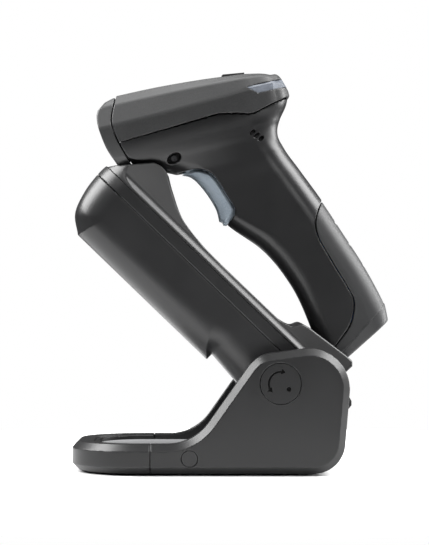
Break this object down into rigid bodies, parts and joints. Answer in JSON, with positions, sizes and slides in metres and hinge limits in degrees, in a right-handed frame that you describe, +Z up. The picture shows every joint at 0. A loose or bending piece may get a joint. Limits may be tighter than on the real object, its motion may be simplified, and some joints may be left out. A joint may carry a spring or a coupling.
{
  "type": "barcode scanner",
  "caption": "Pistol-grip cordless barcode scanner resting in a tilting charging cradle, with trigger, top button, battery door and a weighted foot with a removable front ring.",
  "frame": {"origin": "on the desk plane, on the middle plane of the object, below the middle of the cradle's arm", "axes": "+Z up, -X to the front, where the scanner's nose points, +Y to the object's right side"},
  "size_m": [0.178, 0.1, 0.2212],
  "materials": {
    "textured_shell": "fine textured black",
    "satin_shell": "satin black, smooth",
    "door_plastic": "matte dark grey",
    "trigger_plastic": "light blue-grey, satin",
    "light_guide": "translucent blue-grey",
    "window": "clear, slightly tinted",
    "lens": "polished",
    "engine_body": "matte black",
    "circuit_board": "solder-masked",
    "internal_plastic": "natural moulding",
    "spring_steel": "plain",
    "screw_steel": "zinc plated",
    "contact_brass": "gold flashed",
    "battery_sleeve": "shrink sleeve",
    "base_plastic": "matte charcoal",
    "tray_plastic": "light grey satin",
    "ballast_steel": "plain",
    "foot_rubber": "soft black"
  },
  "bodies": {
    "base": {"side_shell_right": "base_plastic", "side_shell_left": "base_plastic", "ear_cover_right": "base_plastic", "ear_cover_left": "base_plastic", "pivot_bushes": "internal_plastic", "pivot_cap_right": "base_plastic", "pivot_cap_left": "base_plastic", "tray_panel": "tray_plastic", "base_plate": "base_plastic", "base_screws": "screw_steel", "rubber_feet": "foot_rubber", "ballast_plate": "ballast_steel", "rear_bridge": "base_plastic", "release_spring": "spring_steel", "host_socket": "engine_body", "connector_board": "circuit_board", "latch_springs": "spring_steel"},
    "front_ring": {"front_ring": "base_plastic"},
    "latch_button_left": {"latch_button_left": "base_plastic"},
    "latch_button_right": {"latch_button_right": "base_plastic"},
    "tilt_release_button": {"tilt_release_button": "base_plastic"},
    "cradle": {"cradle_back_shell": "satin_shell", "cradle_band": "satin_shell", "cradle_top_cover": "satin_shell", "cradle_light_bar": "light_guide", "cradle_board": "circuit_board", "charge_pins": "contact_brass", "cradle_screws": "screw_steel", "pivot_shafts": "internal_plastic", "detent_disc": "internal_plastic"},
    "scanner": {"head_top_shell": "textured_shell", "status_light_guide": "light_guide", "nose_bezel": "textured_shell", "scan_window": "window", "scan_engine": "engine_body", "imager_lens": "lens", "illumination_lenses": "lens", "aimer_lens": "lens", "inner_frame": "internal_plastic", "main_board": "circuit_board", "beeper": "internal_plastic", "button_switch": "internal_plastic", "grip_housing": "satin_shell", "housing_screws": "screw_steel", "trigger_pin": "screw_steel", "trigger_spring": "spring_steel", "trigger_switch": "internal_plastic", "battery_pack": "battery_sleeve", "battery_contacts": "contact_brass"},
    "trigger": {"trigger": "trigger_plastic"},
    "top_button": {"top_button": "textured_shell"},
    "battery_door": {"battery_door": "door_plastic", "charge_contacts": "contact_brass"}
  },
  "joints": [
    {"name": "cradle_tilt", "type": "hinge", "parent": "base", "child": "cradle", "pos_m": [0.0357, 0, 0.05], "axis": [0, -1, 0], "range_deg": [0, 44]},
    {"name": "scanner_lift", "type": "slide", "parent": "cradle", "child": "scanner", "axis": [0.6947, 0, 0.7193], "range_m": [0, 0.09]},
    {"name": "trigger_pull", "type": "hinge", "parent": "scanner", "child": "trigger", "pos_m": [-0.01585, 0, 0.17127], "axis": [0, -1, 0], "range_deg": [0, 4], "stiffness_Nm_per_rad": 1.2, "springref_deg": -3.44},
    {"name": "top_button_press", "type": "slide", "parent": "scanner", "child": "top_button", "axis": [0.2419, 0, -0.9703], "range_m": [0, 0.0007], "stiffness_N_per_m": 1500, "springref_m": -0.0006},
    {"name": "battery_door_slide", "type": "slide", "parent": "scanner", "child": "battery_door", "axis": [0.7314, 0, 0.682], "range_m": [0, 0.04]},
    {"name": "latch_left_press", "type": "slide", "parent": "base", "child": "latch_button_left", "axis": [0, 1, 0], "range_m": [0, 0.0012], "stiffness_N_per_m": 1200, "springref_m": -0.0008},
    {"name": "latch_right_press", "type": "slide", "parent": "base", "child": "latch_button_right", "axis": [0, -1, 0], "range_m": [0, 0.0012], "stiffness_N_per_m": 1200, "springref_m": -0.0008},
    {"name": "front_ring_slide", "type": "slide", "parent": "base", "child": "front_ring", "axis": [-1, 0, 0], "range_m": [0, 0.04]},
    {"name": "tilt_release_press", "type": "slide", "parent": "base", "child": "tilt_release_button", "axis": [-1, 0, 0], "range_m": [0, 0.0022], "stiffness_N_per_m": 900, "springref_m": -0.001}
  ]
}
